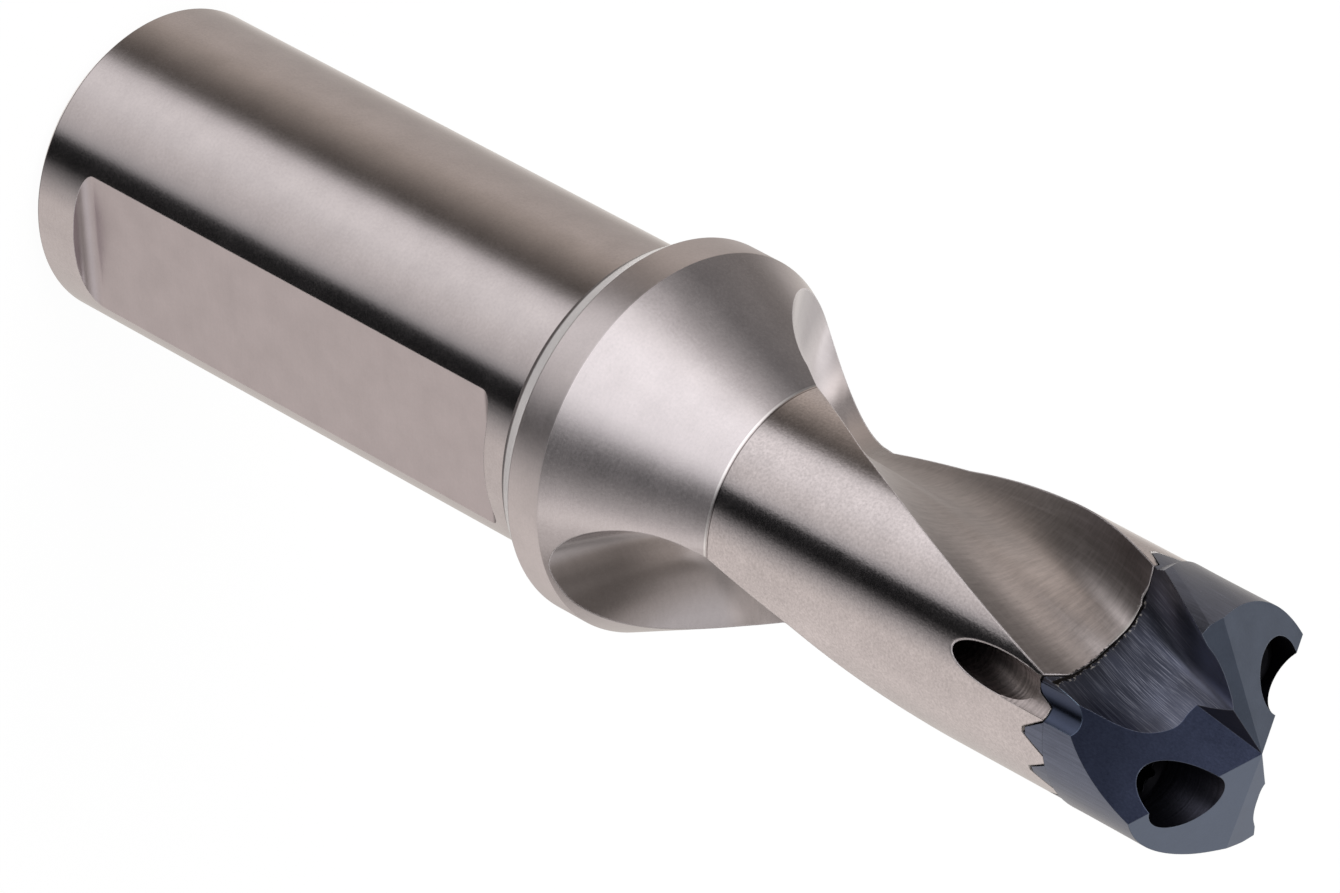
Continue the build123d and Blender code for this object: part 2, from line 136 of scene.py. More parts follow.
UPPER_BANDS = (
    (-180, 0.95, 0.02), (-168, 1.05, 0.02), (-156, 1.75, 0), (-142, 1.7, 0), (-130, 1.45, 0.02),
    (-114, 0.85, 0.04), (-98, 0.26, 0.05), (-86, 0.18, 0.02), (-70, 0.38, 0.02),
    (-57, 0.68, 0.02), (-43, 1.28, 0.01), (-30, 1.54, 0), (4, 1.5, 0), (13, 0.96, 0),
    (22, 0.3, 0), (30, 0.1, 0), (37, 0.09, 0), (45, 0.22, 0.02), (57, 0.5, 0.03),
    (70, 1.15, 0.04), (81, 0.6, 0.04), (90, 0.3, 0.04), (106, 0.5, 0.04), (118, 0.44, 0.04),
    (134, 0.34, 0.04), (150, 0.24, 0.03), (164, 0.8, 0.03),
)
FLOOR_BANDS = (
    (-180, 1.2, 0.03), (-168, 1.6, 0.02), (-158, 1.1, 0.04), (-150, 0.42, 0.06),
    (-140, 0.27, 0.07), (-110, 0.19, 0.08), (-70, 0.13, 0.1), (-20, 0.1, 0.1), (60, 0.11, 0.08),
    (130, 0.2, 0.06), (150, 0.3, 0.05), (160, 0.5, 0.03), (170, 0.9, 0.03),
)
TOP_BANDS = (
    (-180, 0.8, 0), (-166, 0.5, 0), (-150, 0.42, 0), (-120, 0.45, 0), (-60, 0.8, 0), (-30, 1, 0),
    (16, 1, 0), (28, 0.42, 0), (46, 0.42, 0), (60, 0.9, 0), (74, 0.92, 0), (90, 0.56, 0.05),
    (104, 0.24, 0.09), (114, 0.19, 0.1), (130, 0.34, 0.08), (141, 0.6, 0.02), (150, 1.35, 0),
    (166, 1.25, 0), (180, 0.8, 0),
)


def number(name, description, value):
    """Plain number with four digits."""
    return FloatProperty(name=name, description=description, default=value, precision=4)


def length(name, description, millimetres):
    """Length property given in millimetres."""
    return FloatProperty(
        name=name, description=description, default=millimetres * MM, min=0.0,
        unit="LENGTH", precision=5,
    )


def angle(name, description, degrees):
    """Angle property given in degrees."""
    return FloatProperty(
        name=name, description=description, default=radians(degrees), subtype="ANGLE",
    )


def colour(name, description, value):
    """Colour property."""
    return FloatVectorProperty(
        name=name, description=description, default=value, size=3, min=0.0, max=1.0,
        subtype="COLOR",
    )


class DrillFluteSettings(bpy.types.PropertyGroup):
    """How the two flutes wind along the drill."""
    heel_at_joint: angle("Heel at Joint", "Direction of the heel edge at the joint", -118.9)
    turn_in_head: number("Turn in Head", "Degrees of turn per millimetre in the head", 2.02)
    turn_in_body: number("Turn in Body", "Degrees of turn per millimetre below the joint", 1.784)
    turn_growth: number("Turn Growth", "Growth of the turn towards the shank", 0.0089)
    width_at_joint: angle("Width at Joint", "Opening of a flute at the joint", 74.0)
    width_in_body: angle("Width in Body", "Opening of a flute along the body", 86.0)
    width_at_runout: angle("Width at Run-out", "Opening of a flute where it runs out", 76.0)
    narrowing: number("Narrowing", "Degrees of width lost per millimetre of head", 0.84)
    runout_start: length("Run-out Start", "Height where the flute floor starts to rise", 69.9)
    runout_rise: number("Run-out Rise", "How fast the flute floor rises in the run-out", 0.096)


class DrillBodySettings(bpy.types.PropertyGroup):
    """Sizes of the shank, collar and fluted body."""
    shank_radius: length("Shank Radius", "Radius of the clamped shank", 12.5)
    shank_chamfer: length("Shank Chamfer", "Chamfer at the rear end", 0.9)
    flat_height: length("Flat Height", "Distance of the clamping flat from the axis", 11.0)
    flat_start: length("Flat Start", "Where the clamping flat starts", 5.0)
    flat_end: length("Flat End", "Where the clamping flat ends", 50.95)
    flat_corner: length("Flat Corner", "Corner radius at the ends of the flat", 1.2)
    collar_radius: length("Collar Radius", "Radius of the collar", 15.15)
    body_radius: length("Body Radius", "Radius over the lands of the body", 9.6)
    joint_height: length("Joint Height", "Height of the joint with the head", 106.0)
    edge_round: length("Edge Rounding", "Rounding of the turned edges", 0.07)
    turning_steps: IntProperty(
        name="Turning Steps", description="Faces round every turned surface", default=300,
        min=32, max=720)


class DrillHeadSettings(bpy.types.PropertyGroup):
    """Sizes of the cutting head."""
    margin_radius: length("Margin Radius", "Radius over the cutting corners", 10.2)
    base_radius: length("Base Radius", "Radius below the shoulder", 9.6)
    point_height: length("Point Height", "Height of the chisel edge", 118.4)
    teeth: IntProperty(name="Teeth", description="Teeth of the coupling", default=16, min=4)
    tooth_depth: length("Tooth Depth", "Depth of the coupling teeth at the rim", 2.0)
    tooth_fade: length("Tooth Fade Radius", "Radius where the teeth run out inward", 6.6)


class DrillScrewSettings(bpy.types.PropertyGroup):
    """Sizes and place of the clamp screws."""
    axis_radius: length("Axis Radius", "Distance of the screw from the drill's axis", 5.66)
    axis_angle: angle("Axis Direction", "Direction of the screw from the drill's axis", -60.4)
    axis_height: length("Axis Height", "Height at which that distance is taken", 115.0)
    lean: angle("Lean", "Lean of the screw along the flute", 10.5)
    seat_depth: length("Seat Depth", "Depth of the seat below that height", 5.2)
    head_radius: length("Head Radius", "Radius of the screw's head", 2.55)
    head_height: length("Head Height", "Height of the screw's head", 2.1)
    thread_radius: length("Thread Radius", "Radius over the thread", 1.72)
    thread_pitch: length("Thread Pitch", "Pitch of the thread", 0.5)
    screw_length: length("Length", "Length below the head", 8.6)


class DrillFinishSettings(bpy.types.PropertyGroup):
    """Colours of the finishes."""
    steel: colour("Steel", "Ground steel of the body", (0.64, 0.587, 0.599))
    flat: colour("Flat Steel", "Ground steel of the clamping flat", (0.605, 0.540, 0.558))
    flute: colour("Flute Steel", "Ground steel in the flutes", (0.482, 0.438, 0.441))
    coating: colour("Coating", "Hard coating on the ground flanks", (0.102, 0.121, 0.165))
    dark_coating: colour("Dark Coating", "Hard coating on the heel faces", (0.077, 0.092, 0.152))
    screw: colour("Screw", "Oiled steel of the screws", (0.010, 0.010, 0.012))


class DrillStudioSettings(bpy.types.PropertyGroup):
    """Camera and studio."""
    lens: FloatProperty(
        name="Lens", description="Focal length of the camera", default=303.63, unit="CAMERA")
    camera_place: FloatVectorProperty(
        name="Camera Place", description="Where the camera stands", subtype="TRANSLATION",
        default=(-0.464721, -0.464721, 0.576050), size=3)
    camera_turn: FloatVectorProperty(
        name="Camera Turn", description="How the camera is turned", subtype="EULER",
        default=(radians(-31.0938), radians(-43.7264), radians(86.0386)), size=3)
    camera_azimuth: angle("Camera Direction", "Side on which the camera stands", -135.0)
    floor_size: length("Floor Size", "Side of the floor", 4000.0)


# Geometry helpers, in millimetres

def polar(radius, degrees):
    """Point of the given radius and angle."""
    return radius * cos(radians(degrees)), radius * sin(radians(degrees))


def direction(tilt, towards):
    """Unit vector that tilts from the axis towards an angle."""
    return Vector((*polar(sin(radians(tilt)), towards), cos(radians(tilt))))


def in_degrees(value):
    """Value of an angle property in degrees."""
    return value * 180 / pi


def joint_height():
    """Height of the joint with the head."""
    return bpy.context.scene.drill_body.joint_height / MM


def closing_share(flute, z):
    """Share of the way from the full flute to the run-out."""
    runout = flute.runout_start / MM
    return min(max((CLOSING_START - z) / (CLOSING_START - runout), 0.0), 1.0)


def heel_angle(flute, z):
    """Angle of the heel edge at the height z."""
    at_joint, joint = in_degrees(flute.heel_at_joint), joint_height()
    if z >= joint:
        return at_joint + flute.turn_in_head * (z - joint)
    runout = flute.runout_start / MM
    below = joint - max(z, runout)
    turn = flute.turn_in_body * below + flute.turn_growth * below ** 2
    turn += RUNOUT_TURN * max(runout - z, 0.0) + CLOSING_TURN * closing_share(flute, z)
    return at_joint - turn


def flute_width(flute, z):
    """Angle between the two edges of a flute at the height z."""
    joint = joint_height()
    at_joint, in_body, at_runout = (
        in_degrees(value)
        for value in (flute.width_at_joint, flute.width_in_body, flute.width_at_runout)
    )
    if z >= joint:
        return at_joint - flute.narrowing * (z - joint)
    if z >= FULL_WIDTH_END:
        return in_body + (at_joint - in_body) * (z - FULL_WIDTH_END) / (joint - FULL_WIDTH_END)
    return in_body + (at_runout - in_body) * closing_share(flute, z)


def flute_ring(flute, z, section, lift, half_turn):
    """Closed outline of a flute cutter at the height z."""
    heel, width = heel_angle(flute, z), flute_width(flute, z)
    shift = Vector((*polar(lift, heel - width / 2), 0.0))
    points = [
        Vector((*polar(radius, heel - width * (1 - share)), z)) + shift
        for radius, share in section
    ]
    first = SECTION_STEPS[0]
    ring = [points[0].lerp(points[1], step / first) for step in range(first)]
    ring += smooth_curve(points[1:], SECTION_STEPS[1:])
    return [half_turned(point, half_turn) for point in ring]


def tangent(before, here, after):
    """Direction of a smooth curve at a point, weighted towards the nearer neighbour."""
    back, ahead = here - before, after - here
    return (back * (ahead.length / back.length) + ahead * (back.length / ahead.length)).normalized()


def smooth_curve(points, steps):
    """Smooth curve through points, with a number of steps for each span."""
    made = []
    for index, (start, end) in enumerate(zip(points, points[1:])):
        before = points[index - 1] if index else start * 2 - end
        after = points[index + 2] if index + 2 < len(points) else end * 2 - start
        span = (end - start).length
        made += interpolate_bezier(
            start, start + tangent(before, start, end) * span / 3,
            end - tangent(start, end, after) * span / 3, end, steps[index] + 1)[:-1]
    return made + [points[-1]]


def eased(share):
    """Smooth step from 0 to 1."""
    share = min(max(share, 0.0), 1.0)
    return share * share * (3 - 2 * share)


def mixed_section(share):
    """Cross-section between the one at the joint and the one at the point."""
    return [
        (a[0] + (b[0] - a[0]) * share, a[1] + (b[1] - a[1]) * share)
        for a, b in zip(SECTION_AT_JOINT, SECTION_AT_POINT)
    ]


def sweep(bm, rings):
    """Close one solid through rings of points that follow each other."""
    loops = []
    for ring in rings:
        verts = [bm.verts.new(point) for point in ring]
        loops.append([bm.edges.new(pair) for pair in zip(verts, verts[1:] + verts[:1])])
    for below, above in zip(loops, loops[1:]):
        bmesh.ops.bridge_loops(bm, edges=below + above)
    for ends in (loops[0], loops[-1]):
        bmesh.ops.contextual_create(bm, geom=ends)


def turned(profile, steps, round_off=0.0):
    """Solid of revolution about the Z axis, its sharp rings rounded off."""
    bm = bmesh.new()
    verts = [bm.verts.new((radius, 0.0, z)) for radius, z in profile]
    edges = [bm.edges.new(pair) for pair in zip(verts, verts[1:])]
    bmesh.ops.spin(
        bm, geom=verts + edges, axis=(0, 0, 1), cent=(0, 0, 0), steps=steps, angle=2 * pi,
        use_merge=True,
    )
    bmesh.ops.remove_doubles(bm, verts=bm.verts, dist=1e-4)
    bmesh.ops.recalc_face_normals(bm, faces=bm.faces)
    if round_off:
        rings = [
            edge for edge in bm.edges
            if edge.is_manifold and edge.calc_face_angle() > radians(15)
            and abs(edge.verts[0].co.z - edge.verts[1].co.z) < 1e-4
        ]
        bmesh.ops.bevel(
            bm, geom=rings, offset=round_off, segments=3, profile=0.5, affect="EDGES",
            material=-1,
        )
    return bm


def as_object(bm, name, finishes):
    """Link a mesh built in millimetres as an object with the named finishes."""
    bmesh.ops.recalc_face_normals(bm, faces=bm.faces)
    mesh = bpy.data.meshes.new(name)
    bm.to_mesh(mesh)
    bm.free()
    for finish in finishes:
        mesh.materials.append(bpy.data.materials[finish])
    made = bpy.data.objects.new(name, mesh)
    bpy.context.scene.collection.objects.link(made)
    return made


def combine(piece, other, operation):
    """Join a piece with another solid, which is used up. Every face keeps its finish."""
    modifier = piece.modifiers.new("Combine", "BOOLEAN")
    modifier.operation = operation
    modifier.solver = "MANIFOLD"
    modifier.material_mode = "TRANSFER"
    modifier.object = other
    shaped = piece.evaluated_get(bpy.context.evaluated_depsgraph_get())
    mesh = bpy.data.meshes.new_from_object(shaped)
    if not mesh.polygons:
        raise RuntimeError(f"combining {piece.name} with {other.name} left nothing")
    piece.modifiers.clear()
    old = piece.data
    piece.data = mesh
    mesh.name = piece.name
    bpy.data.meshes.remove(old)
    bpy.data.objects.remove(other)


def cut(piece, bm, *finishes):
    """Take a mesh out of a piece. The cut faces get the mesh's finishes."""
    combine(piece, as_object(bm, f"{finishes[0]}_cutter", finishes), "DIFFERENCE")


def finish_piece(piece, node, sharp_degrees):
    """Scale a piece to metres, set its smooth and sharp edges and put it for its solid."""
    bm = bmesh.new()
    bm.from_mesh(piece.data)
    bmesh.ops.remove_doubles(bm, verts=bm.verts, dist=0.004)
    bmesh.ops.dissolve_degenerate(bm, edges=bm.edges, dist=0.002)
    bmesh.ops.scale(bm, vec=(MM, MM, MM), verts=bm.verts)
    bm.to_mesh(piece.data)
    bm.free()
    piece.data.shade_smooth()
    piece.data.set_sharp_from_angle(angle=radians(sharp_degrees))
    weighted = piece.modifiers.new("Flat Faces First", "WEIGHTED_NORMAL")
    weighted.mode = "FACE_AREA"
    weighted.weight = 50
    weighted.keep_sharp = True
    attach(piece, "root")
    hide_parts(node)


def placed(point, along):
    """Matrix that puts the Z axis at a point, along a direction."""
    return Matrix.Translation(point) @ along.to_track_quat("Z", "Y").to_matrix().to_4x4()


def half_turned(vector, half_turn):
    """Vector turned about the drill's axis."""
    return Matrix.Rotation(radians(half_turn), 3, "Z") @ vector


def cylinder(bm, radius, base, along, reach):
    """Add a closed cylinder from a base point along a direction."""
    bmesh.ops.create_cone(
        bm, cap_ends=True, segments=96, radius1=radius, radius2=radius, depth=reach,
        matrix=placed(base + along * reach / 2, along),
    )


def both_flutes(
        flute, start, end, step, section_at=lambda z: SECTION_AT_JOINT, lift_at=lambda z: 0.0):
    """Cutter for both flutes between two heights, with the section and lift at each height."""
    bm = bmesh.new()
    count = max(2, round((end - start) / step))
    heights = [start + (end - start) * index / count for index in range(count + 1)]
    for half_turn in SIDES:
        sweep(bm, [flute_ring(flute, z, section_at(z), lift_at(z), half_turn) for z in heights])
    return bm


def coupling_cutter(head, body_radius, clearance, rise):
    """Wedges of the radial toothed coupling, deeper towards the rim."""
    joint, fade, depth = joint_height(), head.tooth_fade / MM, head.tooth_depth / MM
    bm = bmesh.new()
    for index in range(head.teeth):
        turn = Matrix.Rotation(radians(FIRST_TOOTH + 360 * index / head.teeth), 4, "Z")
        ends = []
        for radius in (fade, WEDGE_END):
            half = radius * tan(pi / head.teeth) - WEDGE_PLAY - clearance
            low = depth * (radius - fade) / (body_radius - fade) + 0.02
            shape = [(-half, joint + 1), (-half, joint + rise), (0, joint + rise - low),
                     (half, joint + rise), (half, joint + 1)]
            verts = [bm.verts.new(turn @ Vector((radius, y, z))) for y, z in shape]
            ends.append([bm.edges.new(pair) for pair in zip(verts, verts[1:] + verts[:1])])
        bmesh.ops.bridge_loops(bm, edges=ends[0] + ends[1])
        for edges in ends:
            bmesh.ops.contextual_create(bm, geom=edges)
    return bm


def coolant_direction():
    """Direction of a slanted coolant channel."""
    return direction(CHANNEL_LEAN, OUTLET_DIRECTION)


def cut_outlets(piece, radius, back, reach, finish):
    """Drill both slanted coolant channels and the short grooves above their outlets."""
    outlet = Vector((*polar(radius, OUTLET_DIRECTION), OUTLET_HEIGHT))
    groove = Vector((*polar(GROOVE_DISTANCE, GROOVE_DIRECTION), OUTLET_HEIGHT))
    for half_turn in SIDES:
        way = half_turned(coolant_direction(), half_turn)
        for bore in (
            (CHANNEL_RADIUS, half_turned(outlet, half_turn) - way * back, way, reach),
            (GROOVE_RADIUS, half_turned(groove, half_turn), Vector((0, 0, 1)), GROOVE_LENGTH),
        ):
            bm = bmesh.new()
            cylinder(bm, *bore)
            cut(piece, bm, finish)


def screw_holes(screw, radius, back, reach):
    """Cutter for one step of both screw holes, from behind the seat towards the point."""
    seat, lean = screw_frame(screw)
    bm = bmesh.new()
    for half_turn in SIDES:
        way = half_turned(lean, half_turn)
        cylinder(bm, radius, half_turned(seat, half_turn) - way * back, way, reach)
    return bm


def screw_frame(screw):
    """Seat point and direction of a clamp screw, in millimetres."""
    towards = in_degrees(screw.axis_angle)
    along = direction(in_degrees(screw.lean), towards + 90)
    mouth = Vector((*polar(screw.axis_radius / MM, towards), screw.axis_height / MM))
    return mouth - along * (screw.seat_depth / MM), along


# Shader helpers

class Value:
    """A socket that takes part in arithmetic."""

    def __init__(self, tree, socket):
        self.tree = tree
        self.socket = socket

    def math(self, operation, *others):
        """Join this value with others by one Math node."""
        return self.tree.node("ShaderNodeMath", {"operation": operation}, (self, *others))

    def __add__(self, other):
        return self.math("ADD", other)

    def __sub__(self, other):
        return self.math("SUBTRACT", other)

    def __rsub__(self, other):
        return self.tree.node("ShaderNodeMath", {"operation": "SUBTRACT"}, (other, self))

    def __mul__(self, other):
        return self.math("MULTIPLY", other)

    def __truediv__(self, other):
        return self.math("DIVIDE", other)

    def __pow__(self, other):
        return self.math("POWER", other)

    __radd__ = __add__
    __rmul__ = __mul__

    def between(self, low, high):
        """0 below low, 1 above high and a smooth step in between."""
        return self.tree.node(
            "ShaderNodeMapRange", {"interpolation_type": "SMOOTHSTEP"},
            {"Value": self, "From Min": low, "From Max": high}, "Result",
        )


class Tree:
    """A node tree of a material or a world, emptied for new nodes."""

    def __init__(self, owner):
        owner.use_nodes = True
        self.nodes = owner.node_tree.nodes
        self.links = owner.node_tree.links
        self.nodes.clear()

    def node(self, kind, settings=None, inputs=(), output=0):
        """Make one node, set it up and return one of its outputs."""
        made = self.nodes.new(kind)
        for name, value in (settings or {}).items():
            if name == "stops":
                ramp = made.color_ramp
                for place, _ in value[1:-1]:
                    ramp.elements.new(place)
                for element, (place, tint) in zip(ramp.elements, value):
                    element.position = place
                    element.color = (*tint, 1.0)
            else:
                setattr(made, name, value)
        pairs = inputs.items() if isinstance(inputs, dict) else enumerate(inputs)
        for key, value in pairs:
            if isinstance(value, Value):
                self.links.new(value.socket, made.inputs[key])
            else:
                made.inputs[key].default_value = value
        return Value(self, made.outputs[output]) if made.outputs else None

    def mix(self, share, first, second, kind="MIX"):
        """Blend two colours."""
        first, second = (
            value if isinstance(value, Value) else (*value, 1.0) for value in (first, second)
        )
        return self.node(
            "ShaderNodeMix", {"data_type": "RGBA", "blend_type": kind},
            {0: share, 6: first, 7: second}, 2,
        )

    def noise(self, vector, scale, detail=3.0, roughness=0.55):
        """Noise value of about 0.5."""
        return self.node(
            "ShaderNodeTexNoise", {"noise_dimensions": "3D"},
            {"Vector": vector, "Scale": scale, "Detail": detail, "Roughness": roughness},
        )

    def place(self):
        """Object coordinates in millimetres, as a vector and its three parts."""
        here = self.node("ShaderNodeTexCoord", output="Object")
        vector = self.node(
            "ShaderNodeVectorMath", {"operation": "SCALE"}, {"Vector": here, "Scale": 1 / MM})
        parts = self.nodes.new("ShaderNodeSeparateXYZ")
        self.links.new(vector.socket, parts.inputs[0])
        return vector, [Value(self, socket) for socket in parts.outputs]

    def dot(self, first, second):
        """Dot product of two vectors."""
        return self.node(
            "ShaderNodeVectorMath", {"operation": "DOT_PRODUCT"}, (first, second), "Value")

    def combine(self, x, y, z):
        """Vector from three values."""
        return self.node("ShaderNodeCombineXYZ", inputs=(x, y, z))

    def finish(self, base, roughness, normal, metallic=1.0):
        """Principled shader and output."""
        shader = self.node(
            "ShaderNodeBsdfPrincipled", {"distribution": "MULTI_GGX"},
            {"Base Color": base, "Roughness": roughness, "Metallic": metallic, "Normal": normal},
        )
        self.node("ShaderNodeOutputMaterial", inputs={"Surface": shader})

    def bump(self, height, micrometres, normal=None):
        """Normal of a surface with the given relief."""
        inputs = {"Height": height, "Distance": micrometres * 1e-6, "Strength": 1.0}
        if normal:
            inputs["Normal"] = normal
        return self.node("ShaderNodeBump", inputs=inputs)


def soft_edges(tree, radius, full=0.25):
    """Normal rounded over the edges, and a mask that is 1 on the very edge."""
    rounded = tree.node("ShaderNodeBevel", {"samples": 4}, {"Radius": radius * MM})
    flat = tree.node("ShaderNodeNewGeometry", output="Normal")
    alike = tree.dot(rounded, flat)
    return rounded, (1.0 - alike).between(full * 0.08, full)


def shaded(tree, tint, shade):
    """Tint made lighter or darker by a value of about 1."""
    return tree.mix(1.0, tint, tree.combine(shade, shade, shade), "MULTIPLY")


def ring_lines(tree, parts, per_mm):
    """Fine lines left by turning or grinding round the axis."""
    x, y, z = parts
    return tree.noise(tree.combine(x * 0.06, y * 0.06, z), per_mm, 2.0, 0.7)


def ground_steel(
        name, tint, roughness, grain, grain_depth, lines=9.0, line_depth=1.0, wear_and_highlight=0.0, metal=1.0,
        ring=None):
    """Steel with a fine grain and faint lines round the axis, dark in the gaps of the joint.

    The depths are in micrometres and lines is their number per millimetre. Along its edges the
    steel gets a painted highlight, paler and duller, which also stands for wear where the wear and
    highlight value is high. A ring gives the height, half width and colour of one painted line, a
    highlight where it is pale and a shade where it is dark.
    """
    tree = Tree(bpy.data.materials.new(name))
    vector, parts = tree.place()
    z, joint = parts[2], joint_height()
    rounded, edge = soft_edges(tree, 0.10 + wear_and_highlight * 0.08, 0.25 - wear_and_highlight * 0.15)
    fine = tree.noise(vector, 4.6, 3.0, 0.65)
    cloud = tree.noise(vector, 0.35, 3.0, 0.5)
    rings = ring_lines(tree, parts, lines)
    shade = 0.95 + (cloud - 0.5) * 0.24 + (fine - 0.5) * grain + (rings - 0.5) * 0.06
    gap = z.between(joint - 2.6, joint - 2.2)
    # Painted highlight along the edges, paler and duller, which also stands for wear; dark in the
    # gap of the joint
    edge = edge * (1.0 - (tree.noise(vector, 1.5, 3.0, 0.7) - 0.5) * wear_and_highlight * 3.0)
    highlight_and_gap_rim = tree.mix(gap, [min(1.0, value * 1.35) for value in tint], (0.02, 0.018, 0.02))
    base = tree.mix(edge * (0.6 + gap * 0.4), shaded(tree, tint, shade), highlight_and_gap_rim)
    # Painted line round the axis: a highlight where its colour is pale, a shade where it is dark
    if ring:
        height, half, hue = ring
        base = tree.mix((z - height).math("ABSOLUTE").between(half, half * 0.5), base, hue)
    rough = roughness + (cloud - 0.5) * 0.05 + (fine - 0.5) * 0.12
    normal = tree.bump(rings, line_depth, rounded)
    normal = tree.bump(fine, grain_depth, normal)
    tree.finish(base, rough, normal, (1.0 - edge * (0.5 + wear_and_highlight * 0.4) * (1.0 - gap)) * metal)


def flute_share(parts):
    """Place across a flute: 0 at the cutting side and 1 at the heel, all along the flute."""
    x, y, z = parts
    flute, joint = bpy.context.scene.drill_flutes, joint_height()
    above, below = (z - joint).math("MAXIMUM", 0.0), (joint - z).math("MAXIMUM", 0.0)
    heel = (
        in_degrees(flute.heel_at_joint) + above * flute.turn_in_head
        - below * flute.turn_in_body - below * below * flute.turn_growth
    )
    reach = joint - FULL_WIDTH_END
    widening = in_degrees(flute.width_in_body - flute.width_at_joint) / reach
    width = (
        in_degrees(flute.width_at_joint) - above * flute.narrowing
        + below.math("MINIMUM", reach) * widening
    )
    behind = (heel - y.math("ARCTAN2", x) * (180 / pi)).math("FLOORED_MODULO", 180.0)
    return 1.0 - behind / width


def painted_pocket_light(z, share, calm):
    """Painted light of the run-out pocket: a painted highlight in the middle and painted shade at
    its end.
    """
    painted_glow = z.between(62.3, 65.0) * share.between(0.78, 0.60) * 0.9
    painted_glow = painted_glow + z.between(66.0, 62.0) * share.between(0.45, 0.33) * 0.6
    painted_glow = painted_glow * share.between(0.08, 0.26)
    painted_shadow = z.between(64.5, 61.5) * share.between(0.55, 0.68) * share.between(0.88, 0.80) * 0.32
    return 1.0 + (painted_glow - painted_shadow) * (1.0 - calm)


def ragged_joint(tree, base, vector, height, share, radius):
    """Draw the ragged dark line of the joint across a flute, with pale burrs and a pale lip.

    The height is the one over the joint. The line ends where the flute meets the land.
    """
    frayed = tree.noise(vector, 2.4, 4.0, 0.75)
    fleck = tree.noise(vector, 4.4, 2.0, 0.6).between(0.54, 0.62)
    away = (height - 0.05).math("ABSOLUTE") + (frayed - 0.5) * 0.9
    in_flute = (share.between(0.5, 0.7) * 2.3 + 7.4 - radius).between(-0.2, 0.2)
    below = 0.0 - height
    cutting_side = share.between(0.62, 0.46)
    burr = away.between(0.48, 0.26) * in_flute * fleck
    lip = below.between(0.02, 0.10) * below.between(0.34, 0.22) * cutting_side
    burr = burr.math("MAXIMUM", lip * share.between(0.10, 0.20))
    seam = away.between(0.25, 0.13) * in_flute
    seam = seam * (1.0 - below.between(0.0, 0.05) * cutting_side)
    base = tree.mix(burr * 0.8, base, (0.62, 0.60, 0.58))
    return tree.mix(seam, base, (0.012, 0.010, 0.010))


def streaked_metal(
        name, tint, light, roughness, per_share, depth, contrast, painted_shine, wear_and_highlight, wall,
        across=0.0, polish=0.0):
    """Metal ground along the flute, with streaks that follow it and a ragged dark joint.

    The painted shine gives a lower and an upper height, and how bright the sides and the middle of
    the flute are painted at each of them, as painted highlight and painted shade. The wall gives
    where the cutting side starts and is full and how much brighter it is painted there. Towards the
    shank the flute is polished, its streaks fade and its run-out pocket gets painted light and
    shade.
    Its edges get a painted highlight, which also stands for wear.
    """
    joint = joint_height()
    tree = Tree(bpy.data.materials.new(name))
    vector, parts = tree.place()
    x, y, z = parts
    rounded, edge = soft_edges(tree, wear_and_highlight, 0.28 - wear_and_highlight * 0.9)
    share = flute_share(parts)
    radius = (x * x + y * y) ** 0.5
    side = ((share - 0.45) * 4.0).math("MINIMUM", 1.0).math("MAXIMUM", -1.0)
    lane = share + (radius - 5.0) * side * 0.07
    streaks = tree.noise(tree.combine(lane, z * 0.0045, 0.0), per_share, 3.0, 0.65)
    broad = tree.noise(tree.combine(lane, z * 0.03, 4.0), per_share * 0.15, 2.0, 0.5)
    arcs = tree.noise(tree.combine(z, share * 1.2, radius * 0.25), 3.2, 3.0, 0.7)
    dust = tree.noise(vector, 6.0, 2.0, 0.6)
    calm = z.between(67.0, 75.0)
    pale = streaks.between(0.46, 0.72) * broad.between(0.10, 0.50) * calm * contrast
    pale = pale * (1.0 - z.between(joint + 5.0, joint) * 0.55)
    lines = (streaks - 0.5) * contrast * 0.8 + (arcs - 0.5) * across
    shade = 0.96 + (dust - 0.5) * 0.16 + lines * (0.2 + calm * 0.8)
    # Painted light: the sides and the middle of the flute are painted lighter or darker with the
    # height
    low, high, sides, middle = painted_shine
    rise = z.between(low, high)
    inner = share.between(0.0, 0.20) * share.between(0.98, 0.80)
    beside = sides[0] + rise * (sides[1] - sides[0])
    centre = middle[0] + rise * share.between(-0.1, 0.5) * (middle[1] - middle[0])
    shade = shade * (beside + inner * (centre - beside))
    # Painted highlight or painted shade on the cutting side of the flute, set by the wall's last
    # value
    shade = shade * (1.0 + share.between(wall[0], wall[1]) * rise * wall[2])
    # Painted highlight and painted shade in the run-out pocket
    shade = shade * painted_pocket_light(z, share, calm)
    base = tree.mix(pale, shaded(tree, tint, shade), light)
    # Painted highlight along the flute's edges, which also stands for wear
    base = tree.mix(edge * 0.9, base, [min(1.0, value * 1.25) for value in light])
    base = ragged_joint(tree, base, vector, z - joint, share, radius)
    rough = roughness + (streaks - 0.5) * 0.14 * calm + (dust - 0.5) * 0.08 - (1.0 - calm) * polish
    normal = tree.bump(streaks * calm, depth, rounded)
    normal = tree.bump(arcs * calm, 14.0 * across, normal)
    tree.finish(base, rough, normal, 1.0 - edge * wear_and_highlight * 4.0)


